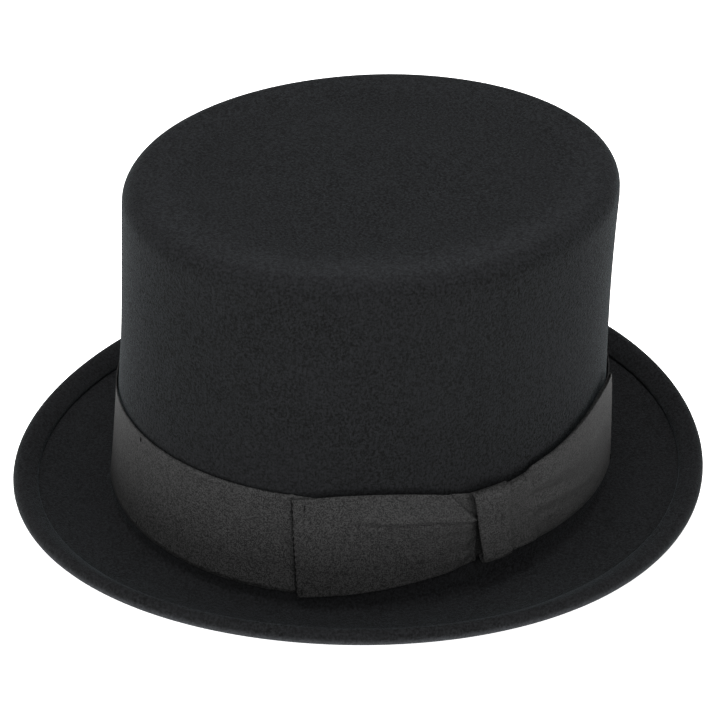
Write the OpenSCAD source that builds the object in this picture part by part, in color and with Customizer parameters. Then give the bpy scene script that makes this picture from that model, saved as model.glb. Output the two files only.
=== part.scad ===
// Top hat in blocked wool felt. One piece of felt makes the flat-topped crown and the
// curled brim, whose edge is turned over into a welt. A grosgrain band goes round the
// crown with a flat bow on the wearer's left. Inside are a sweatband on a reed, a
// satin lining and their stitches.
//
// Millimetres. +Z is up, the wearer faces -Y, and the bow is on +X. The origin is under
// the middle of the brim, level with the lowest point of the felt.
// Every piece follows one oval. An angle of 0 is the front, 90 the bow's side, 180 the back.

/* [Head opening] */
// Half width of the crown at the brim, outside the felt
half_width = 88; // [84:0.5:92]
// Half length of the crown at the brim, outside the felt
half_length = 102.5; // [98:0.5:107]
// How much higher the crown meets the brim at the front and back than at the sides
headline_rise = 3.5; // [0:0.5:5]
// Uneven twist of that line, from blocking by hand
headline_twist = -1.5; // [-3:0.5:3]

/* [Crown] */
// Height of the flat top above the lowest part of the headline
crown_height = 141.5; // [120:0.5:160]
// How far the wall slopes in
wall_taper = -11; // [-14:0.5:-6]
// How far the wall bells out again towards the top
wall_bell = 6.7; // [4:0.1:9]
// Extra slope at the front, taken off at the back
front_lean = -0.9; // [-2:0.1:1]
// Extra slope at the front that grows towards the top
front_lean_top = -1.4; // [-2:0.1:1]
// Radius of the edge between the wall and the flat top
tip_radius = 7; // [5:0.5:10]
// Radius of the bend between crown and brim
bend_radius = 3; // [2:0.5:5]
// Thickness of the felt
felt = 2.6; // [2:0.1:3]

/* [Brim] */
// Width of the brim to the middle of its rolled edge
brim_width = 36; // [30:0.5:45]
// Extra width at the front and back
brim_front_extra = 0.7; // [-2:0.1:3]
// Mean height of the edge above the lowest part of the headline
edge_height = 12; // [8:0.5:16]
// How much lower the edge dips at the front and back than its mean
edge_dip = 1.5; // [0:0.1:4]
// How much higher the edge curls on the right than on the bow's side, halved
edge_lean = 2.8; // [0:0.1:4]
// Uneven twist of the edge
edge_twist = 4.3; // [0:0.1:5]
// How late the curl comes, as a power of the way out
curl_power = 2.4; // [1.8:0.1:3]
// Width of the turned-over welt, from its inner edge to the middle of the roll
welt_width = 6.6; // [5:0.1:8]

/* [Ribbon] */
// Height of the band's lower edge above the headline
band_low = 6.4; // [4:0.1:9]
// Height of the band's upper edge above the headline
band_high = 49.6; // [44:0.1:55]
// Thickness of the ribbon
ribbon = 0.6; // [0.4:0.1:0.9]

/* [Bow] */
// Angle where the bow's front wing is sewn down
bow_front = 56.5; // [50:0.5:62]
// Angle of the middle of the bow's knot
bow_knot = 100; // [96:0.5:104]
// Angle where the bow's back wing ends
bow_back = 152; // [144:0.5:160]
// Width of the knot along the band
knot_width = 15; // [12:0.5:18]
// Lower edge of the ribbon where the knot gathers it
pinch_low = 13.4; // [11:0.1:16]
// Upper edge of the ribbon where the knot gathers it
pinch_high = 45; // [42:0.1:48]
// How far the front wing's upper edge bulges above a straight line
front_bulge = 4.9; // [2:0.1:6]
// How far the back wing's upper edge spreads above the pinch
back_spread = 9.5; // [6:0.5:11]
// How far the back wing's free end stands off the crown
back_lift = 2.5; // [0:0.5:5]

/* [Inside] */
// Height of the sweatband
sweatband_height = 38; // [30:45]
// Thickness of the sweatband
sweatband_thick = 1.2; // [0.8:0.1:1.4]
// Diameter of the reed in the sweatband's lower edge
reed = 1.8; // [1.4:0.1:2]
// Thickness of the satin lining
satin = 0.4; // [0.3:0.1:0.5]
// How far the lining's tip hangs below the felt
tip_drop = 6; // [4:10]

/* [Hidden] */

// Sections round the oval
rings = 72;
step = 360 / rings;
// Air between layers that lie against each other
gap = 0.2;
// Depths of the inner layers behind the wall's outer face
tape_depth = felt + gap;
tape_thick = 0.4;
lining_depth = felt + gap;
tag_depth = lining_depth + satin + gap;
tag_thick = 0.4;
sweatband_depth = tag_depth + tag_thick + gap;
// Height of the sweatband's lower edge, just above the reed
sweatband_low = reed + 1.8;
// The lining starts above the tape and hides behind the sweatband
lining_low = 16;
lining_high = crown_height - felt - tip_drop;
// Thread
thread = 0.5;
stitch_length = 4;

// Smooth step from 0 to 1
function ease(u) = let (v = min(max(u, 0), 1)) v * v * (3 - 2 * v);
function mix(a, b, u) = a + (b - a) * u;

// The oval and its outward normal at an angle
function oval(a) = [half_width * sin(a), -half_length * cos(a)];
function normal(a) = let (n = [half_length * sin(a), -half_width * cos(a)]) n / norm(n);
function heading(a) = let (n = normal(a)) atan2(n.y, n.x);

// Height of the brim's top face where the wall rises from it
function headline(a) = headline_rise * (cos(2 * a) + 1) / 2 + headline_twist * sin(2 * a);
// Everything is lifted so that the lowest felt is at zero
foot = felt - min([for (i = [0:rings - 1]) headline(i * step)]);
// How far the wall leans from the oval, at a share s of the crown's height
function lean(a, s) = (wall_taper + front_lean * cos(a)) * s
    + (wall_bell + front_lean_top * cos(a)) * s * s;
// A point at a height up the crown's wall, out from its face
function on_wall(a, height, out) = let (
        s = height / crown_height,
        p = oval(a) + normal(a) * (lean(a, s) + out))
    [p.x, p.y, foot + mix(headline(a), crown_height, s)];

// The brim's width and edge, and a point on its top face
function width(a) = brim_width + brim_front_extra * cos(2 * a);
function edge(a) = edge_height - edge_lean * sin(a) - edge_dip * cos(2 * a)
    + edge_twist * sin(2 * a);
function on_brim(a, out, up) = let (
        curl = pow(max(out, 0) / width(a), curl_power),
        p = oval(a) + normal(a) * out)
    [p.x, p.y, foot + mix(headline(a), edge(a), curl) + up];

// A solid through sections that are closed loops of equal length
module skin(sections, looped) {
    n = len(sections);
    m = len(sections[0]);
    last = looped ? n - 1 : n - 2;
    sides = [for (i = [0:last], j = [0:m - 1])
        let (p = i * m, q = (i + 1) % n * m, k = (j + 1) % m)
        each [[p + j, p + k, q + k], [p + j, q + k, q + j]]];
    caps = looped ? [] : [[for (j = [m - 1:-1:0]) j], [for (j = [0:m - 1]) (n - 1) * m + j]];
    polyhedron([for (s = sections) each s], concat(sides, caps), convexity = 8);
}

// A strip that lies along the wall between two heights, all the way round
module wall_ring(low, high, inner, outer, steps = 4) {
    skin([for (i = [0:rings - 1]) let (a = i * step) concat(
        [for (k = [0:steps]) on_wall(a, mix(low, high, k / steps), outer)],
        [for (k = [steps:-1:0]) on_wall(a, mix(low, high, k / steps), inner)])], true);
}

// A round cord that follows the wall at one height
module wall_cord(height, depth, diameter, sides = 8) {
    skin([for (i = [0:rings - 1]) [for (k = [0:sides - 1])
        let (b = 360 * k / sides, r = diameter / 2)
        on_wall(i * step, height, -depth + r * cos(b)) + [0, 0, r * sin(b)]]], true);
}

// Children stand at a point, with +X outwards and +Y along the oval
module at_point(p, a) {
    translate(p) rotate([0, 0, heading(a)]) children();
}

// Short straight stitches: lying along the oval, or upright
module stitch() {
    rotate([90, 0, 0]) cylinder(h = stitch_length, d = thread, center = true, $fn = 16);
}
module tack(length) {
    cylinder(h = length, d = thread, center = true, $fn = 16);
}

// One ring of the felt's surface
function wall_loop(height, out, up = 0) = [for (i = [0:rings - 1])
    on_wall(i * step, height, out) + [0, 0, up]];
function brim_loop(out, up) = [for (i = [0:rings - 1]) on_brim(i * step, out, up)];
function edge_loop(out, up) = [for (i = [0:rings - 1]) let (a = i * step)
    on_brim(a, width(a) + out, up)];

// Crown and brim: down the outside, round the welt, and back up the inside
module felt_body() {
    inner_tip = tip_radius - felt;
    color("#14181a") skin(concat(
        [for (b = [90:-22.5:0]) wall_loop(crown_height, -tip_radius * (1 - cos(b)),
            -tip_radius * (1 - sin(b)))],
        [for (k = [6:-1:1]) wall_loop(mix(bend_radius, crown_height - tip_radius, k / 7), 0)],
        [for (b = [0:30:90]) brim_loop(bend_radius * (1 - cos(b)), bend_radius * (1 - sin(b)))],
        [for (k = [1:4]) brim_loop(mix(bend_radius, brim_width - welt_width - 2, k / 4), 0)],
        [edge_loop(-welt_width - 0.4, 0), edge_loop(-welt_width, felt - 0.9),
            edge_loop(-welt_width + 1, felt)],
        [for (b = [90:-30:-90]) edge_loop(felt * cos(b), felt * sin(b))],
        [for (k = [5:-1:1]) brim_loop(mix(bend_radius, brim_width - 3, k / 5), -felt)],
        [for (b = [90:-30:0]) let (r = bend_radius + felt)
            brim_loop(bend_radius - r * cos(b), bend_radius - r * sin(b))],
        [for (k = [1:6]) wall_loop(mix(bend_radius, crown_height - tip_radius, k / 7), -felt)],
        [for (b = [0:22.5:90]) wall_loop(crown_height, -felt - inner_tip * (1 - cos(b)),
            -tip_radius + inner_tip * sin(b))]), false);
}

// Thread that holds the welt down, seen under the brim
module welt_stitching() {
    color("#101214") for (i = [0:rings - 1]) let (a = i * step)
        at_point(on_brim(a, width(a) - welt_width + 2, -felt - thread / 2 - gap / 2), a)
            stitch();
}

// Half the knot's width as an angle, and where the two wings come out of it
knot_half = knot_width / 2 / half_length * 180 / PI;
front_root = bow_knot - knot_half;
back_root = bow_knot + knot_half;

// Edges of the bow's ribbon at an angle: the front wing, then the back wing
function front_share(a) = (a - bow_front) / (front_root - bow_front);
function back_share(a) = (a - back_root) / (bow_back - back_root);
function bow_high(a) = a < bow_knot
    ? let (u = front_share(a)) mix(band_high - 0.6, pinch_high, ease(u))
        + front_bulge * sin(180 * min(u, 1))
    : pinch_high + back_spread * sin(90 * max(back_share(a), 0));
function bow_low(a) = a < bow_knot
    ? mix(band_low - 1.2, pinch_low, min(front_share(a), 1))
    : mix(pinch_low, band_low + 2.4, sin(90 * max(back_share(a), 0)));

// The knot's stitches gather the band too, so its edges stay inside the bow's
function gathered(a) = ease((a - bow_front) / 12) * ease((bow_back + 14 - a) / 24);
tuck = 1;
function band_edge_low(a) = mix(band_low, bow_low(a) + tuck, gathered(a));
function band_edge_high(a) = mix(band_high, bow_high(a) - tuck, gathered(a));

module hat_band() {
    steps = 5;
    color("#2b2d2f") skin([for (i = [0:rings - 1]) let (a = i * step) concat(
        [for (k = [0:steps]) on_wall(a, mix(band_edge_low(a), band_edge_high(a), k / steps),
            gap + ribbon)],
        [for (k = [steps:-1:0]) on_wall(a, mix(band_edge_low(a), band_edge_high(a), k / steps),
            gap)])], true);
}

// Small stitches over the band's edges
module band_tacks() {
    out = 2 * gap + ribbon + thread / 2;
    color("#1c1e20") for (a = [10, 195, 235, 275, 315], height = [band_low + 2, band_high - 2])
        at_point(on_wall(a, height, out), a) tack(2.4);
}

// A stretch of the bow's ribbon from one angle to another, lying on the band.
// thick(u) is its thickness at a share u of the way
wing_base = 2 * gap + ribbon;
module bow_stretch(from, to, steps, low, high, thick) {
    rows = 6;
    color("#303234") skin([for (i = [0:steps]) let (
            u = i / steps,
            a = mix(from, to, u)) concat(
        [for (k = [0:rows]) on_wall(a, mix(low(a), high(a), k / rows),
            wing_base + thick(u) * (0.55 + 0.45 * sin(180 * k / rows)))],
        [for (k = [rows:-1:0]) on_wall(a, mix(low(a), high(a), k / rows), wing_base)])], false);
}
sewn_thick = 1.2;
root_thick = 3.2;
knot_thick = 5;
module bow_front_wing() {
    bow_stretch(bow_front, front_root - 0.3, 14, function(a) bow_low(a), function(a) bow_high(a),
        function(u) mix(sewn_thick, root_thick, ease(u)));
}
module bow_back_wing() {
    bow_stretch(back_root + 0.3, bow_back, 16, function(a) bow_low(a), function(a) bow_high(a),
        function(u) mix(root_thick, sewn_thick, ease(u)) + back_lift * pow(u, 3));
}

// The strip wrapped round the middle of the bow
module bow_knot_wrap() {
    overhang = 1;
    bow_stretch(front_root, back_root, 4, function(a) pinch_low - overhang,
        function(a) pinch_high + overhang, function(u) knot_thick - 3 * pow(u - 0.5, 2));
}

// Stitches that hold the far ends of the wings
module bow_tacks() {
    inset = 5;
    color("#1c1e20") for (a = [bow_front + 1.5, bow_back - 1.5])
        let (rest = a < bow_knot ? sewn_thick : sewn_thick + back_lift)
        for (height = [bow_low(a) + inset, bow_high(a) - inset])
            at_point(on_wall(a, height, wing_base + rest + thread), a) tack(2.4);
}

module sweatband() {
    color("#17181a") wall_ring(sweatband_low, sweatband_low + sweatband_height,
        -sweatband_depth - sweatband_thick, -sweatband_depth);
}

// Cord that stiffens the sweatband's lower edge
module sweatband_reed() {
    color("#3a3c3e") wall_cord(sweatband_low - gap - reed / 2,
        sweatband_depth + sweatband_thick / 2, reed);
}

// Cloth tape that joins the reed to the felt
module reed_tape() {
    color("#1a1b1d") wall_ring(2.4, 12, -tape_depth - tape_thick, -tape_depth, 2);
}

module sweatband_stitching() {
    color("#0f1011") for (i = [0:rings - 1]) let (a = i * step)
        at_point(on_wall(a, sweatband_low + 3,
            -sweatband_depth - sweatband_thick - thread / 2 - gap / 2), a) stitch();
}

// Cross stitches that close the sweatband's ends at the back
module sweatband_seam() {
    pitch = 3.5;
    out = -sweatband_depth - sweatband_thick - thread / 2 - gap / 2;
    color("#0f1011") for (height = [sweatband_low + 6:pitch:sweatband_low + 16])
        at_point(on_wall(180, height, out), 180) rotate([90, 0, 0]) rotate([0, 35, 0])
            cylinder(h = 3, d = thread, center = true, $fn = 16);
}

// Small flat bow that covers the sweatband's seam
module sweatband_bow() {
    half = 11;
    flat = 1.4;
    color("#1c1d1f") at_point(on_wall(180, sweatband_low + 25,
        -sweatband_depth - sweatband_thick - 2.6), 180) rotate([0, 90, 0]) {
        linear_extrude(flat, center = true)
            polygon([[1.6, 1.6], [4, half * 0.6], [3.4, half], [-3.4, half], [-4, half * 0.6],
                [-1.6, 1.6], [-1.6, -1.6], [-4, -half * 0.6], [-3.4, -half], [3.4, -half],
                [4, -half * 0.6], [1.6, -1.6]]);
        cube([5, 3.6, flat + 0.8], center = true);
    }
}

// Blank woven tag behind the sweatband
module size_tag() {
    reach = 4;
    color("#c9c9c4") skin([for (i = [-reach:reach]) let (a = 205 + i) [
        on_wall(a, 30, -tag_depth), on_wall(a, 50, -tag_depth),
        on_wall(a, 50, -tag_depth - tag_thick), on_wall(a, 30, -tag_depth - tag_thick)]], false);
}

module lining_side() {
    color("#0c0d10") wall_ring(lining_low, lining_high, -lining_depth - satin, -lining_depth, 6);
}

// Satin panel across the top of the lining
module lining_tip() {
    under = foot + lining_high + 0.5;
    color("#0c0d10") skin([for (z = [under + satin, under])
        [for (p = wall_loop(lining_high, -lining_depth - satin)) [p.x, p.y, z]]], false);
}

// Covered cord in the seam between the lining's side and tip
module lining_piping() {
    diameter = 1.6;
    color("#15161a") wall_cord(lining_high - 1.6, lining_depth + satin + gap + diameter / 2,
        diameter);
}

// Threads that catch the lining to the felt behind the sweatband
module lining_tacks() {
    color("#0f1011") for (a = [0, 60, 120, 180, 240, 300])
        at_point(on_wall(a, lining_low + 3, -lining_depth - satin - thread / 2 - gap / 4), a)
            tack(3);
}

felt_body();
welt_stitching();
hat_band();
band_tacks();
bow_front_wing();
bow_back_wing();
bow_knot_wrap();
bow_tacks();
sweatband();
sweatband_reed();
reed_tape();
sweatband_stitching();
sweatband_seam();
sweatband_bow();
size_tag();
lining_side();
lining_tip();
lining_piping();
lining_tacks();
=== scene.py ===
"""A black wool felt top hat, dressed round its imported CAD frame.

Shapes are worked out in millimetres and turned into metres when a mesh is made. Every
piece follows one oval: an angle of 0 is the front (-Y), 90 the bow's side (+X), 180 the back.
"""

import math

import bmesh
import bpy
import numpy as np
from mathutils import Matrix, Vector


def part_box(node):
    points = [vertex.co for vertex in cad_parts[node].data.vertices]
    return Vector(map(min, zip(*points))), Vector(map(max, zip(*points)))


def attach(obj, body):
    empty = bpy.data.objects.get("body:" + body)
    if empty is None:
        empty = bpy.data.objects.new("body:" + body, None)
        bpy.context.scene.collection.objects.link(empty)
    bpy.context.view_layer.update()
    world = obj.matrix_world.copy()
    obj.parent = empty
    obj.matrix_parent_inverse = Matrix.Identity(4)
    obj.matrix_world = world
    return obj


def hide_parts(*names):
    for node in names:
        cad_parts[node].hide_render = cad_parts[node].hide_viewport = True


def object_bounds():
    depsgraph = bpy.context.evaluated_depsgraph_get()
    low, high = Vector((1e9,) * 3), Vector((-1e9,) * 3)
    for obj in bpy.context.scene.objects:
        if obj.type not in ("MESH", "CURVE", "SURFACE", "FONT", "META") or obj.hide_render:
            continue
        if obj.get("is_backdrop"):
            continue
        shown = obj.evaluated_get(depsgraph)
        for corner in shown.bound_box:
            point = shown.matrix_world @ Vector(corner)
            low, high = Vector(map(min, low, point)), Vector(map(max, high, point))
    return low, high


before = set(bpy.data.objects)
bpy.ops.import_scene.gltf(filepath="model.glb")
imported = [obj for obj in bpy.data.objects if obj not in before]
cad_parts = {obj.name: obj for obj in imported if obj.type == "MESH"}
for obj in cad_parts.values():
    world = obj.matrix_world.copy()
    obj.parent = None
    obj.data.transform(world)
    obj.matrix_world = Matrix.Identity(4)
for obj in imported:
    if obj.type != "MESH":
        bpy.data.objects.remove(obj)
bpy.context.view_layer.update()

MM = 0.001

# --- Driving dimensions, the CAD's own ---------------------------------------------------

HEADLINE_RISE, HEADLINE_TWIST = 3.5, -1.5
WALL_TAPER, WALL_BELL = -11.0, 6.7
FRONT_LEAN, FRONT_LEAN_TOP = -0.9, -1.4
TIP_RADIUS, BEND_RADIUS, FELT = 7.0, 3.0, 2.6
BRIM_WIDTH, BRIM_FRONT_EXTRA = 36.0, 0.7
EDGE_HEIGHT, EDGE_DIP, EDGE_LEAN, EDGE_TWIST = 12.0, 1.5, 2.8, 4.3
CURL_POWER, WELT_WIDTH = 2.4, 6.6
BAND_LOW, BAND_HIGH = 6.4, 49.6
BOW_FRONT, BOW_KNOT, BOW_BACK, KNOT_WIDTH = 56.5, 100.0, 152.0, 15.0
PINCH_LOW, PINCH_HIGH = 13.4, 45.0
SWEATBAND_LOW, SWEATBAND_HEIGHT, SWEATBAND_THICK = 3.6, 38.0, 1.2
TAPE_DEPTH, LINING_DEPTH, TAG_DEPTH, SWEATBAND_DEPTH = 2.8, 2.8, 3.4, 4.0
LINING_LOW, LINING_THICK, TIP_DROP = 16.0, 0.3, 6.0
RIBBON = 0.5

SECTIONS = 384
WELD = 0.02  # Points closer than this become one


def headline(a):
    """Height of the brim's top face where the crown rises from it."""
    return HEADLINE_RISE * (np.cos(2 * a) + 1) / 2 + HEADLINE_TWIST * np.sin(2 * a)


def angles(n=SECTIONS):
    return np.radians(np.linspace(0.0, 360.0, n + 1))


# The frame gives the rest: the lowest felt is at zero, and its box gives the oval's size
FOOT = FELT - float(headline(angles(720)).min())
felt_low, felt_high = (np.array(c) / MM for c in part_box("felt_body"))
CROWN_HEIGHT = felt_high[2] - FOOT
HALF_WIDTH = (felt_high[0] - felt_low[0]) / 2 - BRIM_WIDTH + BRIM_FRONT_EXTRA - FELT
HALF_LENGTH = (felt_high[1] - felt_low[1]) / 2 - BRIM_WIDTH - BRIM_FRONT_EXTRA - FELT


# --- Surfaces ----------------------------------------------------------------------------


def ease(u):
    v = np.clip(u, 0.0, 1.0)
    return v * v * (3 - 2 * v)


def mix(a, b, u):
    return a + (b - a) * u


def oval(a):
    return np.stack([HALF_WIDTH * np.sin(a), -HALF_LENGTH * np.cos(a)], -1)


def outward(a):
    n = np.stack([HALF_LENGTH * np.sin(a), -HALF_WIDTH * np.cos(a)], -1)
    return n / np.linalg.norm(n, axis=-1, keepdims=True)


def wall(a, height, out=0.0, up=0.0):
    """Points up the crown's wall, out from its face. The arguments broadcast."""
    a, height, out, up = np.broadcast_arrays(a, height, out, up)
    s = height / CROWN_HEIGHT
    lean = (WALL_TAPER + FRONT_LEAN * np.cos(a)) * s
    lean = lean + (WALL_BELL + FRONT_LEAN_TOP * np.cos(a)) * s * s
    xy = oval(a) + outward(a) * (lean + out)[..., None]
    z = FOOT + mix(headline(a), CROWN_HEIGHT, s) + up
    return np.concatenate([xy, z[..., None]], -1)


def brim_width(a):
    return BRIM_WIDTH + BRIM_FRONT_EXTRA * np.cos(2 * a)


def brim_edge(a):
    wave = EDGE_DIP * np.cos(2 * a) - EDGE_TWIST * np.sin(2 * a)
    return EDGE_HEIGHT - EDGE_LEAN * np.sin(a) - wave


def brim(a, out, along=0.0, up=0.0):
    """Points on the brim's top face, moved along the curl and up from it, square to it."""
    a, out, along, up = np.broadcast_arrays(a, out, along, up)
    rise = brim_edge(a) - headline(a)
    share = np.maximum(out, 0.0) / brim_width(a)
    z = headline(a) + rise * share**CURL_POWER
    slope = rise * CURL_POWER * share ** (CURL_POWER - 1) / brim_width(a)
    run = np.sqrt(1 + slope * slope)
    reach = out + (along - up * slope) / run
    xy = oval(a) + outward(a) * reach[..., None]
    z = FOOT + z + (along * slope + up) / run
    return np.concatenate([xy, z[..., None]], -1)


def ripple(a, h, size, seed):
    """Small smooth unevenness from a few sine waves, the same on every run."""
    rng = np.random.default_rng(seed)
    total = np.zeros(np.broadcast(a, h).shape)
    for k in (2, 3, 5, 7, 11):
        phase, pitch = rng.uniform(0, 6.28), rng.uniform(-0.07, 0.07)
        total = total + np.sin(k * a + pitch * h + phase) / math.sqrt(k)
    return size * total / 2


# --- Meshes ------------------------------------------------------------------------------


def grid_object(name, points, flat=None):
    """An object from rows and columns of points in millimetres. flat holds each point's
    place on the uncut cloth, in millimetres, which becomes the UV map "flat"."""
    rows, cols = points.shape[:2]
    index = np.arange(rows * cols).reshape(rows, cols)
    quads = np.stack([index[:-1, :-1], index[:-1, 1:], index[1:, 1:], index[1:, :-1]], -1)
    quads = quads.reshape(-1, 4)
    mesh = bpy.data.meshes.new(name)
    mesh.from_pydata((points.reshape(-1, 3) * MM).tolist(), [], quads.tolist())
    if flat is not None:
        layer = mesh.uv_layers.new(name="flat")
        layer.data.foreach_set("uv", flat.reshape(-1, 2)[quads.ravel()].ravel())
    bm = bmesh.new()
    bm.from_mesh(mesh)
    bmesh.ops.remove_doubles(bm, verts=bm.verts, dist=WELD * MM)
    bmesh.ops.dissolve_degenerate(bm, edges=bm.edges, dist=1e-6)
    bm.to_mesh(mesh)
    bm.free()
    mesh.shade_smooth()
    obj = bpy.data.objects.new(name, mesh)
    bpy.context.collection.objects.link(obj)
    return obj


def flat_of(points):
    """Arc length along the middle row, and up the middle column, in millimetres."""
    rows, cols = points.shape[:2]
    across = np.linalg.norm(np.diff(points[rows // 2], axis=0), axis=1)
    upward = np.linalg.norm(np.diff(points[:, cols // 2], axis=0), axis=1)
    x = np.concatenate([[0], np.cumsum(across)])
    y = np.concatenate([[0], np.cumsum(upward)])
    return np.stack(np.meshgrid(x, y), -1)


def recalculate(obj):
    """Makes a closed mesh's faces look outwards."""
    bm = bmesh.new()
    bm.from_mesh(obj.data)
    bmesh.ops.recalc_face_normals(bm, faces=bm.faces)
    bm.to_mesh(obj.data)
    bm.free()
    return obj


def thicken(obj, thickness):
    """Gives a sheet its thickness, half to each side."""
    solid = obj.modifiers.new("thickness", "SOLIDIFY")
    solid.thickness = thickness * MM
    solid.offset = 0.0
    solid.use_even_offset = False


def tube(path, radius, sides, closed=False):
    """Rows round a path of points (n, 3); the first column is repeated at the end."""
    ahead = np.roll(path, -1, 0) - np.roll(path, 1, 0)
    if not closed:
        ahead[0], ahead[-1] = path[1] - path[0], path[-1] - path[-2]
    ahead /= np.linalg.norm(ahead, axis=1, keepdims=True)
    guide = np.where(np.abs(ahead[:, 2:3]) > 0.9, [[1.0, 0, 0]], [[0, 0, 1.0]])
    side = np.cross(ahead, guide)
    side /= np.linalg.norm(side, axis=1, keepdims=True)
    top = np.cross(side, ahead)
    b = np.linspace(0, 2 * np.pi, sides + 1)[:, None, None]
    radius = np.broadcast_to(radius, len(path))[None, :, None]
    return path[None] + radius * (np.cos(b) * side[None] + np.sin(b) * top[None])


def joined(name, objects):
    with bpy.context.temp_override(
        active_object=objects[0], selected_editable_objects=objects, object=objects[0]
    ):
        bpy.ops.object.join()
    objects[0].name = objects[0].data.name = name
    return objects[0]


def stitches(name, starts, ends, lifts, radius=0.22, arch=0.25):
    """Short lengths of thread from one point to another, arched away from the cloth.
    lifts are unit vectors away from it."""
    steps, sides = 7, 6
    u = np.linspace(0, 1, steps)
    verts, quads = [], []
    for start, end, lift in zip(starts, ends, lifts):
        path = start + (end - start) * u[:, None]
        path = path + lift * (arch * np.sin(np.pi * u) ** 0.6 - 0.05)[:, None]
        taper = radius * (0.35 + 0.65 * np.sin(np.pi * np.clip(u, 0.04, 0.96)) ** 0.4)
        ring = tube(path, taper, sides)[:-1]
        base = len(verts)
        verts.extend(ring.transpose(1, 0, 2).reshape(-1, 3) * MM)
        for i in range(steps - 1):
            for k in range(sides):
                p, q = base + i * sides, base + (i + 1) * sides
                quads.append([p + k, p + (k + 1) % sides, q + (k + 1) % sides, q + k])
        quads.append([base + k for k in range(sides)][::-1])
        quads.append([base + (steps - 1) * sides + k for k in range(sides)])
    mesh = bpy.data.meshes.new(name)
    mesh.from_pydata([list(v) for v in verts], [], quads)
    mesh.shade_smooth()
    obj = bpy.data.objects.new(name, mesh)
    bpy.context.collection.objects.link(obj)
    return recalculate(obj)


# --- Materials ---------------------------------------------------------------------------


class Nodes:
    """A material's node tree, written as short calls."""

    def __init__(self, name):
        self.material = bpy.data.materials.new(name)
        self.material.use_nodes = True
        self.tree = self.material.node_tree
        self.shader = self.tree.nodes["Principled BSDF"]

    def node(self, kind, inputs=None, **settings):
        made = self.tree.nodes.new(kind)
        for key, value in settings.items():
            setattr(made, key, value)
        for key, value in (inputs or {}).items():
            self.put(made.inputs[key], value)
        return made

    def put(self, socket, value):
        if isinstance(value, bpy.types.NodeSocket):
            self.tree.links.new(value, socket)
        else:
            socket.default_value = value

    def set(self, **values):
        for key, value in values.items():
            self.put(self.shader.inputs[key.replace("_", " ")], value)

    def place(self, scale=(1, 1, 1), turn=(0, 0, 0), uv=None):
        """Coordinates in millimetres, from the object or from the flat cloth."""
        source = (
            self.node("ShaderNodeUVMap", uv_map=uv).outputs["UV"]
            if uv
            else self.node("ShaderNodeTexCoord").outputs["Object"]
        )
        unit = 1.0 if uv else 1 / MM
        return self.node(
            "ShaderNodeMapping",
            {"Vector": source, "Scale": [unit * s for s in scale], "Rotation": turn},
        ).outputs["Vector"]

    def noise(self, vector, scale, detail=3.0, roughness=0.55, distortion=0.0):
        return self.node(
            "ShaderNodeTexNoise",
            {
                "Vector": vector,
                "Scale": scale,
                "Detail": detail,
                "Roughness": roughness,
                "Distortion": distortion,
            },
        ).outputs["Fac"]

    def math(self, operation, a, b=0.0):
        return self.node("ShaderNodeMath", {0: a, 1: b}, operation=operation).outputs[0]

    def stretch(self, value, low, high, to_low=0.0, to_high=1.0):
        return self.node(
            "ShaderNodeMapRange",
            {0: value, 1: low, 2: high, 3: to_low, 4: to_high},
            interpolation_type="SMOOTHSTEP",
        ).outputs[0]

    def blend(self, share, a, b):
        made = self.node("ShaderNodeMix", data_type="RGBA")
        self.put(made.inputs["Factor"], share)
        self.put(made.inputs["A"], a)
        self.put(made.inputs["B"], b)
        return made.outputs["Result"]

    def bump(self, height, distance, strength=1.0, normal=None):
        values = {"Height": height, "Distance": distance * MM, "Strength": strength}
        if normal is not None:
            values["Normal"] = normal
        return self.node("ShaderNodeBump", values).outputs["Normal"]


def grey(value, tint=(1.0, 1.0, 1.0)):
    return (*(value * t for t in tint), 1.0)


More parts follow.
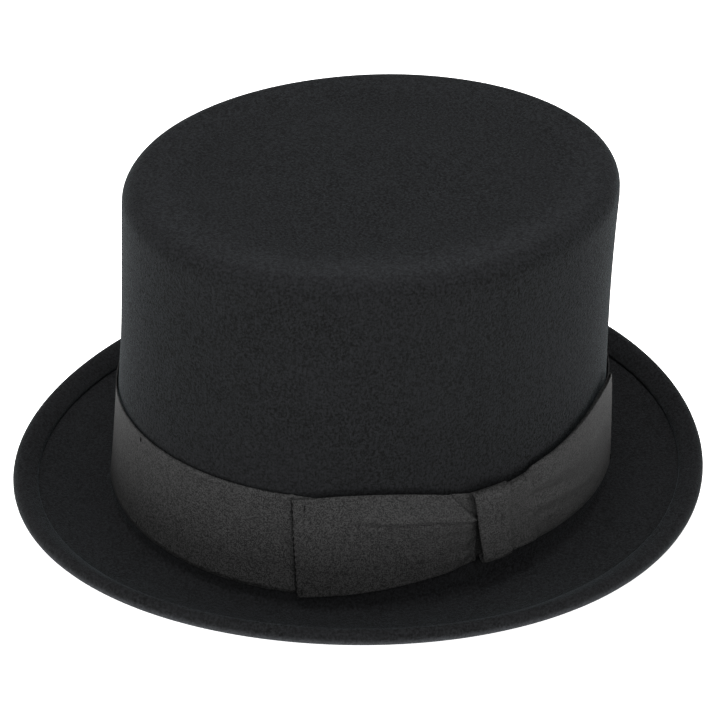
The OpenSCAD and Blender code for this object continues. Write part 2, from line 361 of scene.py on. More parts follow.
def felt_material(name, dark, light, tint):
    """Blocked wool felt: short matted fibres that run every way, over faint slow mottling.
    It carries a painted highlight: paler colour where the mesh's highlight attribute says."""
    n = Nodes(name)
    fibres = None
    for turn in ((0.3, 0.2, 0.5), (1.2, 0.9, 2.0), (2.2, 1.9, 0.9)):
        vector = n.place(scale=(1.0, 1.0, 0.3), turn=turn)
        strand = n.stretch(n.noise(vector, 1.6, 2.0, 0.6, 1.2), 0.5, 0.72)
        fibres = strand if fibres is None else n.math("MAXIMUM", fibres, strand)
    grain = n.stretch(n.noise(n.place(), 1.0, 3.0, 0.7), 0.37, 0.63)
    pits = n.stretch(n.noise(n.place(), 0.6, 3.0, 0.6, 2.0), 0.28, 0.42)
    mottle = n.stretch(n.noise(n.place(), 0.03, 4.0, 0.6), 0.35, 0.68)
    nap = n.math("ADD", n.math("MULTIPLY", fibres, 0.4), n.math("MULTIPLY", grain, 0.6))
    nap = n.math("MULTIPLY", nap, n.math("ADD", n.math("MULTIPLY", pits, 0.3), 0.7))
    colour = n.blend(nap, grey(dark, tint), grey(light, tint))
    slow = n.math("MULTIPLY", mottle, 0.16)
    colour = n.blend(slow, colour, grey(light * 0.9, tint))
    # Painted highlight: where the mesh's highlight attribute says, the colour is blended towards
    # a pale grey, broken up by the grain. Here worn holds this painted highlight, not wear.
    painted_highlight = n.node("ShaderNodeAttribute", attribute_name="painted_highlight").outputs["Fac"]
    worn = n.math("MULTIPLY", painted_highlight, n.math("ADD", n.math("MULTIPLY", grain, 0.5), 0.5))
    n.set(Base_Color=n.blend(worn, colour, grey(light * 2.7, tint)))
    n.set(Roughness=0.95, Specular_IOR_Level=0.12)
    facing = n.node("ShaderNodeLayerWeight", {"Blend": 0.5}).outputs["Facing"]
    grazing = n.math("MULTIPLY", n.math("POWER", facing, 3.0), 0.042)
    haze = n.math("ADD", n.stretch(nap, 0.1, 0.8, 0.008, 0.04), grazing)
    n.set(Sheen_Weight=haze, Sheen_Roughness=0.3)
    n.set(Sheen_Tint=(0.72, 0.91, 1.0, 1.0))
    n.set(Normal=n.bump(nap, 0.22, 0.8, n.bump(n.noise(n.place(), 5.0, 3.0), 0.05, 0.6)))
    return n.material


def ribbon_material(name, dark, light, pitch=0.8):
    """Grosgrain: fine cords across the ribbon, with a random shade to each crossing."""
    n = Nodes(name)
    split = n.node("ShaderNodeSeparateXYZ", {0: n.place(uv="flat")})
    wander = n.noise(n.place(scale=(0.3, 1.0, 1.0), uv="flat"), 0.6, 3.0)
    x = n.math("ADD", split.outputs["X"], n.math("MULTIPLY", wander, 0.5))
    y = n.math("ADD", split.outputs["Y"], n.math("MULTIPLY", wander, 0.4))
    cords = n.math("SINE", n.math("MULTIPLY", x, 2 * math.pi / pitch))
    threads = n.math("SINE", n.math("MULTIPLY", y, 2 * math.pi / (pitch * 0.86)))
    weave = n.math("MULTIPLY", cords, threads)
    height = n.math("ADD", n.math("MULTIPLY", cords, 0.16), n.math("MULTIPLY", weave, 0.3))
    height = n.math("ADD", height, 0.5)
    fuzz = None
    for scale in ((0.4, 1.0, 1.0), (1.0, 0.4, 1.0)):
        streaks = n.stretch(n.noise(n.place(scale=scale, uv="flat"), 1.3, 3.0), 0.39, 0.63)
        fuzz = streaks if fuzz is None else n.math("MULTIPLY", n.math("ADD", fuzz, streaks), 0.5)
    snapped = n.node("ShaderNodeVectorMath",
                     {0: n.place(uv="flat"), 1: (pitch / 2, pitch / 2, 1.0)},
                     operation="SNAP").outputs["Vector"]
    crossing = n.node("ShaderNodeTexWhiteNoise", {"Vector": snapped}).outputs["Value"]
    shade = n.math("ADD", n.math("MULTIPLY", height, 0.15), n.math("MULTIPLY", fuzz, 0.2))
    shade = n.math("ADD", shade, n.math("MULTIPLY", n.stretch(crossing, 0.1, 0.9), 0.65))
    n.set(Base_Color=n.blend(shade, grey(dark), grey(light)))
    n.set(Roughness=0.65, Specular_IOR_Level=0.15)
    n.set(Sheen_Weight=0.003, Sheen_Roughness=0.35, Sheen_Tint=(0.97, 0.99, 1.0, 1.0))
    n.set(Normal=n.bump(height, 0.12, 0.8, n.bump(fuzz, 0.12, 0.7)))
    return n.material


def thread_material(name, value):
    n = Nodes(name)
    twist = n.node(
        "ShaderNodeTexWave",
        {"Vector": n.place(turn=(0.6, 0.7, 0.2)), "Scale": 1.1, "Distortion": 0.6},
    ).outputs["Fac"]
    n.set(Base_Color=n.blend(twist, grey(value * 0.6), grey(value * 1.5)))
    n.set(Roughness=0.8, Specular_IOR_Level=0.15, Normal=n.bump(twist, 0.06, 0.7))
    return n.material


def leather_material(name, value):
    n = Nodes(name)
    cells = n.node(
        "ShaderNodeTexVoronoi", {"Vector": n.place(), "Scale": 1.5}, feature="DISTANCE_TO_EDGE"
    ).outputs["Distance"]
    creases = n.stretch(cells, 0.0, 0.14)
    worn = n.noise(n.place(), 0.06, 4.0, 0.6)
    n.set(Base_Color=n.blend(worn, grey(value * 0.7), grey(value * 1.5, (1.05, 1.0, 0.96))))
    n.set(Roughness=n.stretch(worn, 0.2, 0.8, 0.38, 0.58))
    n.set(Normal=n.bump(creases, 0.06, 0.6, n.bump(worn, 0.5, 0.3)))
    return n.material


def satin_material(name, value):
    """Satin: long floats that catch the light along the cloth, over a fine weave."""
    n = Nodes(name)
    floats = n.noise(n.place(scale=(1.0, 0.06, 1.0), uv="flat"), 5.0, 3.0)
    soft = n.noise(n.place(uv="flat"), 0.05, 2.0)
    n.set(Base_Color=n.blend(floats, grey(value * 0.6), grey(value * 1.6, (0.96, 0.98, 1.05))))
    n.set(Roughness=n.stretch(soft, 0.3, 0.7, 0.28, 0.4), Specular_IOR_Level=0.6)
    n.set(Sheen_Weight=0.25, Normal=n.bump(floats, 0.05, 0.6))
    return n.material


def woven_material(name, value, pitch):
    """Plain-woven cotton."""
    n = Nodes(name)
    split = n.node("ShaderNodeSeparateXYZ", {0: n.place(uv="flat")})
    waves = [
        n.math("SINE", n.math("MULTIPLY", split.outputs[axis], 2 * math.pi / pitch))
        for axis in "XY"
    ]
    height = n.math("ADD", n.math("MULTIPLY", n.math("MULTIPLY", *waves), 0.5), 0.5)
    n.set(Base_Color=n.blend(height, grey(value * 0.65), grey(value * 1.3)))
    n.set(Roughness=0.85, Sheen_Weight=0.3, Normal=n.bump(height, 0.1, 0.8))
    return n.material


def plastic_material(name, value):
    n = Nodes(name)
    marks = n.noise(n.place(), 0.8, 4.0)
    n.set(Base_Color=n.blend(marks, grey(value * 0.8), grey(value * 1.2)))
    n.set(Roughness=n.stretch(marks, 0.3, 0.7, 0.45, 0.6), Normal=n.bump(marks, 0.05, 0.4))
    return n.material


COOL = (0.95, 1.0, 1.1)
FELT_LOOK = felt_material("wool_felt", 0.0004, 0.0112, COOL)
RIBBON_LOOK = ribbon_material("grosgrain", 0.0001, 0.0292)
NARROW_LOOK = ribbon_material("narrow_grosgrain", 0.002, 0.018, pitch=0.5)
THREAD_LOOK = thread_material("black_thread", 0.0015)
LEATHER_LOOK = leather_material("sweatband_leather", 0.013)
SATIN_LOOK = satin_material("lining_satin", 0.012)
TAPE_LOOK = woven_material("cotton_tape", 0.02, 0.5)
TAG_LOOK = woven_material("tag_cloth", 0.45, 0.4)
REED_LOOK = plastic_material("reed_plastic", 0.025)


def finish_piece(obj, node, look):
    """Gives a piece its material and puts it in place of its CAD node."""
    obj.data.materials.clear()
    obj.data.materials.append(look)
    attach(obj, "root")
    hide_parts(node)


# --- The felt ----------------------------------------------------------------------------

# The top sinks this much towards its middle, over this reach from its edge
TOP_DISH, DISH_REACH = 0.9, 34.0
ROLL_RADIUS, ROLL_DROP = 3.1, 0.3
# A painted highlight on the crown's top just inside its edge, standing in for front light and
# sheen:
# its side in degrees, how far in from the edge, how wide, how pale all round and how much more
# on that side
PALE_SIDE, PALE_INSET, PALE_WIDTH, PALE_ALL, PALE_MORE = 85.0, 12.0, 9.0, 0.04, 0.17
# The turned-over welt seen in section: how far in from the roll's middle, and how far up
WELT_SECTION = [(-1.6, 0.02), (-0.9, 0.1), (0.0, 0.35), (0.1, 0.75), (-0.2, 1.2), (-0.8, 1.6),
                (-1.9, 2.0), (-3.3, 2.4), (-5.0, 2.75)]


def crown_top(a, rings, height):
    """Rows from the middle of the crown's top out to its rounded edge."""
    rim = wall(a, CROWN_HEIGHT, -TIP_RADIUS)
    rim[:, 2] = height
    middle = rim[:-1].mean(0)
    rows = []
    for share in np.linspace(0, 1, rings + 1)[:-1] ** 0.75:
        row = middle + (rim - middle) * share
        reach = np.linalg.norm(rim - row, axis=1)
        row[:, 2] -= TOP_DISH * ease(reach / DISH_REACH)
        row[:, 2] += ripple(a, share * 60, 0.22, 5) * share * (1 - share) * 4
        rows.append(row)
    return rows


def mark_painted_highlight(obj):
    """Marks each vertex with how much painted highlight its felt gets: on the brim's outer lip
    and the roll under it, and just inside the edge of the crown's top."""
    points = np.array([v.co for v in obj.data.vertices]) / MM
    a = np.arctan2(points[:, 0] / HALF_WIDTH, -points[:, 1] / HALF_LENGTH)
    reach = np.linalg.norm(points[:, :2], axis=1) - np.linalg.norm(oval(a), axis=1)
    # Painted highlight on the brim's outer lip and the downward-facing roll under it, where
    # floor light falls
    lip = ease((reach - brim_width(a) + 4.0) / 4.0)
    edge_top = FOOT + brim_edge(a) + 1.2
    under = ease((edge_top - points[:, 2]) / 2.5)
    # Painted highlight just inside the crown top's edge, strongest on the side towards the front
    # lights
    inside = np.linalg.norm(wall(a, CROWN_HEIGHT)[:, :2], axis=1)
    inside = inside - np.linalg.norm(points[:, :2], axis=1)
    crown = points[:, 2] > FOOT + CROWN_HEIGHT - 2.4
    near = 0.5 + 0.5 * np.cos(a - math.radians(PALE_SIDE))
    side = PALE_ALL + PALE_MORE * near**2
    crown = crown * side * np.exp(-(((inside - PALE_INSET) / PALE_WIDTH) ** 2))
    layer = obj.data.attributes.new("painted_highlight", "FLOAT", "POINT")
    layer.data.foreach_set("value", (lip * under + crown).astype(np.float32))


def felt_body():
    a = angles()
    rows = crown_top(a, 40, FOOT + CROWN_HEIGHT)
    for b in np.radians(np.linspace(90, 0, 14)):
        inset = TIP_RADIUS * (1 - math.cos(b))
        drop = TIP_RADIUS * (1 - math.sin(b))
        rows.append(wall(a, CROWN_HEIGHT - drop, -inset + ripple(a, -drop, 0.2, 3)))
    for height in np.linspace(CROWN_HEIGHT - TIP_RADIUS, BEND_RADIUS, 64)[1:-1]:
        uneven = ripple(a, height, 0.28, 3) * ease((height - BAND_HIGH) / 30)
        rows.append(wall(a, height, uneven))
    for b in np.radians(np.linspace(0, 90, 9)):
        rows.append(wall(a, BEND_RADIUS, BEND_RADIUS * (1 - math.cos(b)),
                         -BEND_RADIUS * math.sin(b)))
    inner = brim_width(a) - WELT_WIDTH
    for u in np.linspace(0, 1, 26)[1:]:
        rows.append(brim(a, mix(BEND_RADIUS, inner, u), up=ripple(a, u * 40, 0.12, 8) * u))
    for inward, up in WELT_SECTION:
        rows.append(brim(a, inner - inward, up=up + ripple(a, 0, 0.08, 9)))
    for b in np.radians(np.linspace(90, -90, 15)):
        rows.append(brim(a, brim_width(a), ROLL_RADIUS * math.cos(b),
                         ROLL_RADIUS * math.sin(b) - ROLL_DROP))
    for u in np.linspace(1, 0, 24)[1:]:
        rows.append(brim(a, mix(BEND_RADIUS, brim_width(a) - 1.5, u), up=-FELT))
    bend = BEND_RADIUS + FELT
    for b in np.radians(np.linspace(90, 0, 9))[1:]:
        rows.append(wall(a, BEND_RADIUS, BEND_RADIUS - bend * math.cos(b),
                         -bend * math.sin(b)))
    for height in np.linspace(BEND_RADIUS, CROWN_HEIGHT - TIP_RADIUS, 24)[1:]:
        rows.append(wall(a, height, -FELT))
    inner_tip = TIP_RADIUS - FELT
    for b in np.radians(np.linspace(0, 90, 8))[1:]:
        drop = TIP_RADIUS - inner_tip * math.sin(b)
        rows.append(wall(a, CROWN_HEIGHT - drop, -FELT - inner_tip * (1 - math.cos(b))))
    under = crown_top(a, 14, FOOT + CROWN_HEIGHT - FELT)
    rows += under[::-1]
    obj = recalculate(grid_object("felt_body", np.array(rows)))
    mark_painted_highlight(obj)
    finish_piece(obj, "felt_body", FELT_LOOK)


felt_body()


def run_of_stitches(node, count, place, lift, length, **thread):
    """Stitches one after another round the hat. place(angle) gives the line they follow,
    and length is each one's share of its space."""
    a = np.radians(np.arange(count) * 360 / count)
    half = math.radians(180 / count) * length
    obj = stitches(node, place(a - half), place(a + half), lift(a), **thread)
    finish_piece(obj, node, THREAD_LOOK)


def flat_outward(a, sign=1.0):
    return np.concatenate([outward(a), np.zeros((len(a), 1))], 1) * sign


def brim_down(a):
    """Unit vectors away from the brim's underside, near its edge."""
    out = brim_width(a) - WELT_WIDTH + 2
    line = brim(a, out, up=-1.0) - brim(a, out)
    return line / np.linalg.norm(line, axis=1, keepdims=True)


run_of_stitches("welt_stitching", 230,
                lambda a: brim(a, brim_width(a) - WELT_WIDTH + 2, up=-FELT + 0.02),
                brim_down, 0.5, radius=0.14, arch=0.1)


# --- The ribbon --------------------------------------------------------------------------

KNOT_HALF = math.degrees(KNOT_WIDTH / 2 / HALF_LENGTH)
FRONT_ROOT, BACK_ROOT = BOW_KNOT - KNOT_HALF, BOW_KNOT + KNOT_HALF
FRONT_BULGE, BACK_SPREAD = 4.9, 10.2
BAND_OUT = 0.45
BOW_LEAN = 1.6
LAID = BAND_OUT + RIBBON + 1.3
KNOT_PROUD = LAID + 3.4
FOLD_RADIUS = 0.6
GROOVE_DEPTH, GROOVE_HALF = 0.5, 0.5


def back_share(deg):
    """How far the back wing has opened from the knot to its full width."""
    v = np.clip((deg - BACK_ROOT) / (BOW_BACK - BACK_ROOT), 0, 1)
    return 0.6 * ease(v) + 0.4 * np.sin(np.pi / 2 * v)


def bow_high(deg):
    u = np.clip((deg - BOW_FRONT) / (FRONT_ROOT - BOW_FRONT), 0, 1)
    front = mix(BAND_HIGH - 0.6, PINCH_HIGH, ease(u)) + FRONT_BULGE * np.sin(np.pi * u)
    step = 1.1 * ease((deg - 110.6) / 1.0) * ease((125 - deg) / 14)
    back = PINCH_HIGH - 0.5 + (BACK_SPREAD + 0.5) * back_share(deg) + step
    return np.where(deg < BOW_KNOT, front, back)


def bow_low(deg):
    u = np.clip((deg - BOW_FRONT) / (FRONT_ROOT - BOW_FRONT), 0, 1)
    front = mix(BAND_LOW - 1.2, PINCH_LOW, u)
    back = mix(PINCH_LOW - 0.6, BAND_LOW + 2.4, back_share(deg))
    return np.where(deg < BOW_KNOT, front, back)


def hat_band():
    rows = 24
    beside_wing = 360 + BOW_FRONT + np.linspace(-3, 3, 61)
    deg = np.unique(np.concatenate([np.linspace(180, 540, 513), beside_wing]))
    wrapped = deg % 360
    a = np.radians(deg)
    gathered = ease((wrapped - BOW_FRONT) / 12) * ease((BOW_BACK + 2 - wrapped) / 14)
    low = mix(BAND_LOW, bow_low(wrapped) + 1.0, gathered)
    high = mix(BAND_HIGH + 0.8 * np.cos(a), bow_high(wrapped) - 1.8, gathered)
    v = np.linspace(0, 1, rows + 1)[:, None]
    # The ribbon's edges stand off the felt a little, and its middle lies on it
    edge = np.abs(2 * v - 1) ** 6
    out = BAND_OUT + RIBBON / 2 + 0.18 * edge + ripple(a, v * 43, 0.05, 12)
    # The wing's stitches pull the ribbon in beside the wing's sewn end
    beside = wrapped - (BOW_FRONT + BOW_LEAN * (0.5 - v) - 0.35)
    out = out - GROOVE_DEPTH * np.exp(-((beside / GROOVE_HALF) ** 2))
    points = wall(a[None], mix(low, high, v), out)
    obj = grid_object("hat_band", points, flat_of(points))
    thicken(obj, RIBBON)
    finish_piece(obj, "hat_band", RIBBON_LOOK)


hat_band()


def wing(node, root, end, lean, shape, gap_growth):
    """A wing of the bow: the ribbon runs out from the knot, folds back at its end and
    returns under itself. shape(u, v) gives how far the outer layer stands off the wall,
    with u from knot to fold and v from lower to upper edge. gap_growth is how much the gap
    between the two layers widens towards the fold."""
    across, along, turn = 96, 150, 8
    v = np.linspace(0, 1, across + 1)[:, None]
    u = np.linspace(0, 1, along + 1)[None]
    deg = mix(root, end + lean * (0.5 - v) + 0.1 * np.sin(95 * v), u)
    heights = mix(bow_low(deg), bow_high(deg), v)
    outer = wall(np.radians(deg), heights, shape(u, v))
    last = outer[:, -1:]
    a_end = math.radians(end)
    tangent = np.array([HALF_WIDTH * math.cos(a_end), HALF_LENGTH * math.sin(a_end), 0.0])
    tangent *= math.copysign(1.0, end - root) / np.linalg.norm(tangent)
    inward = -np.append(outward(np.array(a_end)), 0.0)
    b = np.radians(np.linspace(0, 180, turn + 1))[None, 1:, None]
    fold = last + FOLD_RADIUS * (np.sin(b) * tangent + (1 - np.cos(b)) * inward)
    under = np.maximum(shape(u, v) - (0.6 + gap_growth * u), BAND_OUT + RIBBON + 0.3)
    under = mix(under, shape(u, v) - 2 * FOLD_RADIUS, ease((u - 0.9) / 0.1))
    shrunk = mix(bow_low(deg) + 0.7, bow_high(deg) - 1.6, v)
    inner = wall(np.radians(deg), mix(shrunk, heights, ease((u - 0.9) / 0.1)), under)
    points = np.concatenate([outer, fold, inner[:, ::-1][:, 1:]], 1)
    obj = grid_object(node, points, flat_of(points))
    thicken(obj, RIBBON * 0.8)
    finish_piece(obj, node, RIBBON_LOOK)


def hugged(v, edge):
    """One across the ribbon, falling to nothing at its two edges."""
    return np.clip(np.minimum(v, 1 - v) / edge, 0, 1) ** 0.6


def front_shape(u, v):
    """The upper facet lies over the lower one along a level pleat that fades out."""
    line = mix(0.655, 0.722, ease(u / 0.28))
    fade = ease((0.74 - u) / 0.3)
    over = ease((v - line) / 0.014 + 0.5)
    facet = np.clip((v - line) / (1 - line), 0, 1)
    near = ease((0.35 - u) / 0.35)
    upper = (0.3 + 3.0 * fade * mix(0.72, 1, ease(u / 0.15))) * (1 - facet) + 0.2 * near
    lower = (0.3 + 0.9 * fade) * np.clip(v / line, 0, 1) ** 1.5 * hugged(v, 0.05)
    lower = lower - 2.1 * fade * np.exp(-(((line - v) / 0.045) ** 2))
    out = LAID + mix(lower, upper, over) + 0.35 * ease(u / 0.1) * np.sin(np.pi * v)
    # Beyond a slanting fold the upper corner drops back behind the knot
    slant = u - 0.146 * facet - 0.012
    out = out - (0.7 + 1.0 * (1 - facet)) * over * ease(-slant / 0.008 + 0.5)
    # The lower facet rolls under before the knot, with a hollow and a tucked corner
    sunk = ease((0.05 - u) / 0.035) * (1 - over)
    hollow = np.exp(-((u - 0.035) / 0.022) ** 2 - ((v - 0.26) / 0.075) ** 2)
    corner = ease((0.24 - v - 1.5 * u) / 0.1)
    out = out - 0.8 * sunk - 1.3 * hollow - 0.6 * corner
    fan = np.sin((v - 0.3) * 30 + 2 * u) * np.exp(-u * 7) * 0.22 * (1 - over) * ease(u / 0.05)
    soft = 0.14 * np.sin(5.5 * u + 4 * v) + 0.09 * np.sin(11 * u - 6 * v + 1)
    return np.maximum(out + fan + soft * ease(u * 4), BAND_OUT + RIBBON + 0.45)


def back_shape(u, v):
    """The gathers fan out past a small step beside the knot, and the end stands away."""
    step = ease((u - 0.155 + 0.05 * (v - 0.5)) / 0.03)
    flush = KNOT_PROUD - 1.1 - LAID
    opened = mix(2.0, 0.35, ease(u)) * hugged(v, 0.3) ** 0.7
    out = mix(flush * hugged(v, 0.05), opened, step)
    folds = -0.9 * np.exp(-((u - 0.19) / 0.03) ** 2 - ((v - 0.84) / 0.06) ** 2)
    for middle, turn, depth in ((0.78, -0.25, 0.75), (0.66, -0.6, -0.8), (0.50, -0.4, 0.6),
                                (0.36, -0.3, -0.5)):
        ridge = (v - middle - turn * (u - 0.15)) / (0.05 + 0.05 * u)
        folds = folds + depth * np.exp(-ridge * ridge) * np.exp(-np.abs(u - 0.15) * 1.7)
    out = out + folds * step * ease((0.95 - u) / 0.3)
    lift = 0.7 * ease((u - 0.75) / 0.25) * v
    soft = 0.16 * np.sin(6 * u + 3 * v) * ease(u * 4)
    return np.maximum(LAID + out + soft + lift, BAND_OUT + RIBBON + 0.45)


wing("bow_front_wing", FRONT_ROOT + 1.2, BOW_FRONT + 0.3, BOW_LEAN, front_shape, 0.0)
wing("bow_back_wing", BACK_ROOT - 1.2, BOW_BACK - 2.0, 3.0, back_shape, 0.6)


def knot_wrap():
    """A strip over the gathered middle of the bow, tucked in behind it top and bottom."""
    face, tuck, across = 44, 12, 30
    top, bottom, behind = PINCH_HIGH + 0.8, PINCH_LOW - 0.4, BAND_OUT + RIBBON + 0.4
    depth = (KNOT_PROUD - behind) / 2
    b = np.radians(np.linspace(0, 180, tuck + 1))
    flank = np.linspace(bottom + depth, top - depth, face + 1)[1:-1]
    heights = np.concatenate([bottom + depth - depth * np.sin(b), flank,
                              top - depth + depth * np.sin(b)])
    middle = behind + depth
    outs = np.concatenate([middle - depth * np.cos(b), np.full(face - 1, KNOT_PROUD),
                           middle + depth * np.cos(b)])[:, None]
    w = np.linspace(-1, 1, across + 1)[None]
    lean = ((top - heights) / (top - bottom))[:, None]
    deg = mix(FRONT_ROOT - 0.3 + 2.6 * lean, BACK_ROOT - 0.1 + 1.1 * lean, (w + 1) / 2)
    share = (outs - behind) / (KNOT_PROUD - behind)
    rounded = (-0.7 * np.abs(w) ** 6 + 0.12 * np.sin(w * 5 + 1)) * share
    sag = 0.2 * np.sin(np.linspace(0, 3 * np.pi, len(heights)))[:, None] * share
    points = wall(np.radians(deg), heights[:, None], outs + rounded + sag)
    obj = grid_object("bow_knot_wrap", points, flat_of(points)[..., ::-1])
    thicken(obj, RIBBON)
    finish_piece(obj, "bow_knot_wrap", RIBBON_LOOK)


knot_wrap()


def upright_tacks(node, marks, length):
    """Single thread tacks. marks are (angle in degrees, height, how far out)."""
    deg, height, out = (np.array(m, float) for m in zip(*marks))
    a = np.radians(deg)
    ends = [wall(a, height + side * length / 2, out) for side in (-1, 1)]
    obj = stitches(node, ends[0], ends[1], flat_outward(a), radius=0.27)
    finish_piece(obj, node, THREAD_LOOK)


band_face = BAND_OUT + RIBBON
upright_tacks("band_tacks",
              [(deg, height, band_face + 0.05) for deg in (10, 195, 235, 275, 315)
               for height in (BAND_LOW + 1.6, BAND_HIGH - 1.8)], 2.0)
tack_length = 2.6
# Tacks end to end up the front wing's sewn end, just off it on the band: real stitches, set
# close so their dark thread also paints the shade the wing's end casts on the band
wing_foot, wing_tall = 5, 43
sewn_end = [(BOW_FRONT + BOW_LEAN * (0.5 - (h - wing_foot) / wing_tall) - 0.4, h, band_face)
            for h in np.arange(7.5, 47.0, tack_length)]
upright_tacks("bow_tacks", sewn_end +
              [(BOW_FRONT + 1.9, 46.2, LAID + 0.75), (BOW_FRONT + 1.7, 8.6, LAID + 0.75),
               (BOW_BACK - 1.5, 50.0, LAID + 0.9), (BOW_BACK - 1.5, 12.0, LAID + 0.5)],
              tack_length)


# --- The inside --------------------------------------------------------------------------


def sweatband():
    """A leather band with rounded edges, wavy where it hangs free of the crown."""
    a = angles(320)
    half = SWEATBAND_THICK / 2
    section = [(1, 0.0)] + [(1, x) for x in np.linspace(0.02, 0.98, 22)] + [(1, 1.0)]
    section += [(0.5, 1.012), (-0.5, 1.012), (-1, 1.0)]
    section += [(-1, x) for x in np.linspace(0.98, 0.02, 22)]
    section += [(-1, 0.0), (-0.5, -0.012), (0.5, -0.012), (1, 0.0)]
    rows = []
    for side, share in section:
        height = SWEATBAND_LOW + SWEATBAND_HEIGHT * share
        loose = ripple(a, share * 30, 0.3, 21) * max(share, 0) ** 2
        rows.append(wall(a, height, -SWEATBAND_DEPTH - half + half * side - np.abs(loose)))
    obj = recalculate(grid_object("sweatband", np.array(rows)))
    finish_piece(obj, "sweatband", LEATHER_LOOK)


sweatband()


def cord_round(node, height, depth, radius, look):
    """A cord laid round the inside of the crown."""
    a = angles(288)[:-1]
    rows = tube(wall(a, height, -depth), radius, 10, closed=True)
    rows = np.concatenate([rows, rows[:, :1]], 1)
    obj = recalculate(grid_object(node, rows, flat_of(rows)))
    finish_piece(obj, node, look)


reed_height = SWEATBAND_LOW - 1.1
cord_round("sweatband_reed", reed_height, SWEATBAND_DEPTH + SWEATBAND_THICK / 2, 0.9,
           REED_LOOK)


def lining_ring(node, low, high, depth, look, folds=0.0):
    """A band of cloth round the inside. folds is the depth of its soft upright folds."""
    cols, rows = 480, 20
    a = angles(cols)
    v = np.linspace(0, 1, rows + 1)[:, None]
    gathers = np.abs(np.sin(24 * a) + 0.5 * np.sin(37 * a + 1) + 0.3 * np.sin(53 * a)) / 1.8
    inward = folds * gathers * np.sin(np.pi * v) ** 0.7
    points = wall(a[None], mix(low, high, v), -depth - LINING_THICK / 2 - inward)
    obj = grid_object(node, points, flat_of(points))
    thicken(obj, LINING_THICK)
    finish_piece(obj, node, look)


lining_high = CROWN_HEIGHT - FELT - TIP_DROP
tape_low, tape_high = 2.2, 12.4
lining_ring("reed_tape", tape_low, tape_high, TAPE_DEPTH, TAPE_LOOK)
lining_ring("lining_side", LINING_LOW, lining_high, LINING_DEPTH, SATIN_LOOK,
            folds=0.9)
cord_round("lining_piping", lining_high - 1.6, LINING_DEPTH + 1.4, 0.8, SATIN_LOOK)


def lining_tip():
    """The lining's oval top panel, puckered towards its seam."""
    a = angles(240)
    rim = wall(a, lining_high, -LINING_DEPTH - 0.4)
    rim[:, 2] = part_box("lining_tip")[0][2] / MM + 0.2
    middle = rim[:-1].mean(0)
    rows = []
    for share in np.linspace(0, 1, 41):
        row = middle + (rim - middle) * share
        puckers = np.abs(np.sin(30 * a)) * 0.5 * ease((share - 0.75) / 0.25) * (1 - share) * 6
        row[:, 2] -= 2.2 * (1 - share * share) + puckers
        rows.append(row)
    points = np.array(rows)
    obj = grid_object("lining_tip", points, points[..., :2])
    thicken(obj, 0.3)
    finish_piece(obj, "lining_tip", SATIN_LOOK)


lining_tip()

inner_face = SWEATBAND_DEPTH + SWEATBAND_THICK
run_of_stitches("sweatband_stitching", 170,
                lambda a: wall(a, SWEATBAND_LOW + 3, -inner_face - 0.1),
                lambda a: flat_outward(a, -1.0), 0.62)


def sweatband_seam():
    """Zigzag stitches that close the sweatband's ends."""
    heights = np.arange(SWEATBAND_LOW + 5, SWEATBAND_LOW + 20, 1.6)
    sides = np.where(np.arange(len(heights)) % 2, 1, -1)
    reach = math.degrees(1.5 / HALF_WIDTH)
    starts = wall(np.radians(180 - sides * reach), heights, -inner_face - 0.1)
    ends = wall(np.radians(180 + sides * reach), heights + 1.6, -inner_face - 0.1)
    lifts = np.tile([0.0, -1.0, 0.0], (len(heights), 1))
    obj = stitches("sweatband_seam", starts, ends, lifts)
    finish_piece(obj, "sweatband_seam", THREAD_LOOK)


sweatband_seam()


def sweatband_bow():
    """A small ribbon bow: two loops that narrow to a tie."""
    ribbon_width, loop_reach, tie_half = 10.0, 10.0, 1
    low, high = (np.array(c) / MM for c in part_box("sweatband_bow"))
    middle = (low + high) / 2
    face = high[1]
    pieces = []
    for side in (-1, 1):
        u = np.linspace(0, 1, 25)
        reach = mix(tie_half, tie_half + loop_reach, u)
        path_x = side * np.concatenate([reach, reach[::-1][1:]])
        puff = 0.9 * np.sin(np.pi * np.concatenate([u, u[::-1][1:]])) + 0.25
        toward = np.concatenate([np.ones(25), -np.ones(24)])
        half = mix(1.4, ribbon_width / 2, ease(np.abs(path_x) / 6))
        v = np.linspace(-1, 1, 11)[:, None]
        droop = -0.03 * path_x**2 * 0.4
        points = np.stack(np.broadcast_arrays(
            middle[0] + path_x[None] + 0 * v,
            face - 1.3 - (toward * puff)[None] + 0.12 * np.cos(3 * v),
            middle[2] + half[None] * v + droop[None]), -1)
        pieces.append(grid_object(f"loop{side}", points, flat_of(points)))
    b = np.linspace(0, 2 * np.pi, 33)
    v = np.linspace(-1, 1, 9)[:, None]
    ring = np.stack(np.broadcast_arrays(
        middle[0] + 1.9 * v * (1 - 0.1 * np.cos(b)), face - 1.3 - 1.1 * np.cos(b)[None] + 0 * v,
        middle[2] + 1.9 * np.sin(b)[None] + 0 * v), -1)
    pieces.append(grid_object("tie", ring, flat_of(ring)))
    obj = joined("sweatband_bow", pieces)
    thicken(obj, 0.3)
    finish_piece(obj, "sweatband_bow", NARROW_LOOK)


sweatband_bow()


def size_tag():
    """A blank woven tag that hangs behind the sweatband."""
    start, end = 201, 209
    deg = np.linspace(start, end, 25)[None]
    v = np.linspace(0, 1, 31)[:, None]
    curl = 0.25 * np.sin(np.pi * (deg - start) / (end - start)) * v
    points = wall(np.radians(deg), mix(30, 50, v), -TAG_DEPTH - 0.2 - curl)
    obj = grid_object("size_tag", points, flat_of(points))
    thicken(obj, 0.3)
    finish_piece(obj, "size_tag", TAG_LOOK)


size_tag()
upright_tacks("lining_tacks",
              [(deg, LINING_LOW + 3, -LINING_DEPTH - 0.5) for deg in range(0, 360, 60)], 2.4)


# --- Floor, light and camera -------------------------------------------------------------


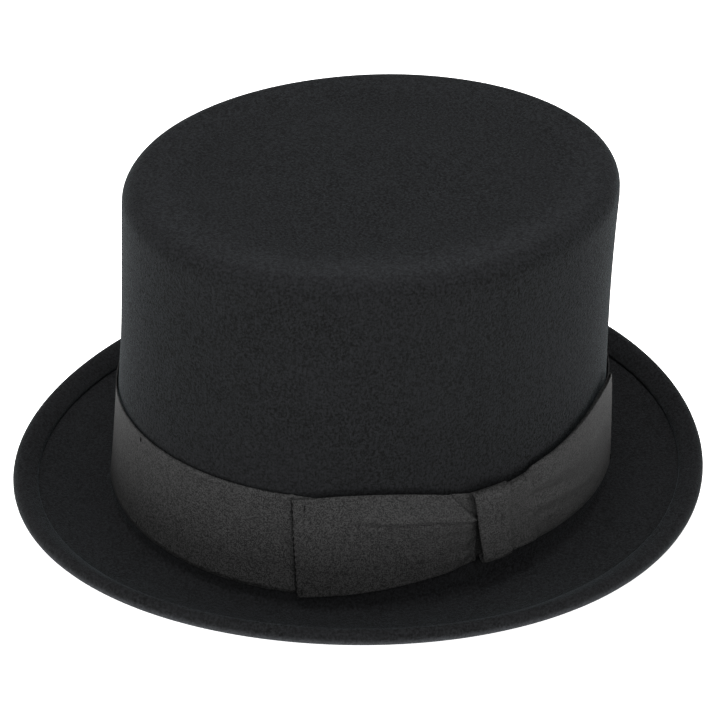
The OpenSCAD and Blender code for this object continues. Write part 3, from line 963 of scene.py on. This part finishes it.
LAMP_DISTANCE, LAMP_SIZE = 1.5, 1.0
FLOOR_HALF = 4.0


def studio():
    """A plain white floor that glows a little, and an even sky."""
    size = FLOOR_HALF
    floor_z = min(0.0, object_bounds()[0][2])
    mesh = bpy.data.meshes.new("floor")
    corners = [(-size, -size, floor_z), (size, -size, floor_z), (size, size, floor_z),
               (-size, size, floor_z)]
    mesh.from_pydata(corners, [], [(0, 1, 2, 3)])
    floor = bpy.data.objects.new("floor", mesh)
    bpy.context.collection.objects.link(floor)
    n = Nodes("floor_paper")
    n.set(Base_Color=(0.9, 0.9, 0.9, 1), Roughness=0.9, Emission_Color=(1, 1, 1, 1),
          Emission_Strength=0.95)
    mesh.materials.append(n.material)
    floor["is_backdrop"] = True

    world = bpy.data.worlds.new("studio")
    world.use_nodes = True
    background = world.node_tree.nodes["Background"]
    background.inputs["Color"].default_value = (1, 1, 1, 1)
    background.inputs["Strength"].default_value = 0.35
    bpy.context.scene.world = world
    bpy.context.scene.view_settings.view_transform = "Standard"


def softbox(name, azimuth, elevation, power):
    data = bpy.data.lights.new(name, "AREA")
    data.shape = "DISK"
    data.size, data.energy = LAMP_SIZE, power
    lamp = bpy.data.objects.new(name, data)
    az, el = math.radians(azimuth), math.radians(elevation)
    spot = Vector((math.sin(az) * math.cos(el), -math.cos(az) * math.cos(el), math.sin(el)))
    lamp.location = spot * LAMP_DISTANCE
    lamp.rotation_euler = spot.to_track_quat("Z", "Y").to_euler()
    bpy.context.collection.objects.link(lamp)


def camera(azimuth, elevation, roll, distance, aim, lens):
    """A camera that looks at aim, a point in millimetres, from a distance in metres."""
    az, el, turn = (math.radians(x) for x in (azimuth, elevation, roll))
    back = Vector((math.sin(az) * math.cos(el), -math.cos(az) * math.cos(el), math.sin(el)))
    right = Vector((math.cos(az), math.sin(az), 0.0))
    up = back.cross(right)
    cam_right = right * math.cos(turn) - up * math.sin(turn)
    cam_up = right * math.sin(turn) + up * math.cos(turn)
    data = bpy.data.cameras.new("camera")
    data.lens, data.sensor_width = lens, 36.0
    obj = bpy.data.objects.new("camera", data)
    bpy.context.collection.objects.link(obj)
    turned = Matrix((cam_right, cam_up, back)).transposed().to_4x4()
    place = Vector(aim) * MM + back * distance
    obj.matrix_world = Matrix.Translation(place) @ turned
    bpy.context.scene.camera = obj


studio()
softbox("top_light", 0, 89, 25.5)
softbox("left_light", 20, 22, 11.5)
softbox("right_light", 115, 22, 8.5)
softbox("front_light", 62, 45, 4.5)
camera(azimuth=67.55, elevation=32.91, roll=-1.32, distance=1.2736, aim=(-0.5, -1.2, 58.5),
       lens=159.2)
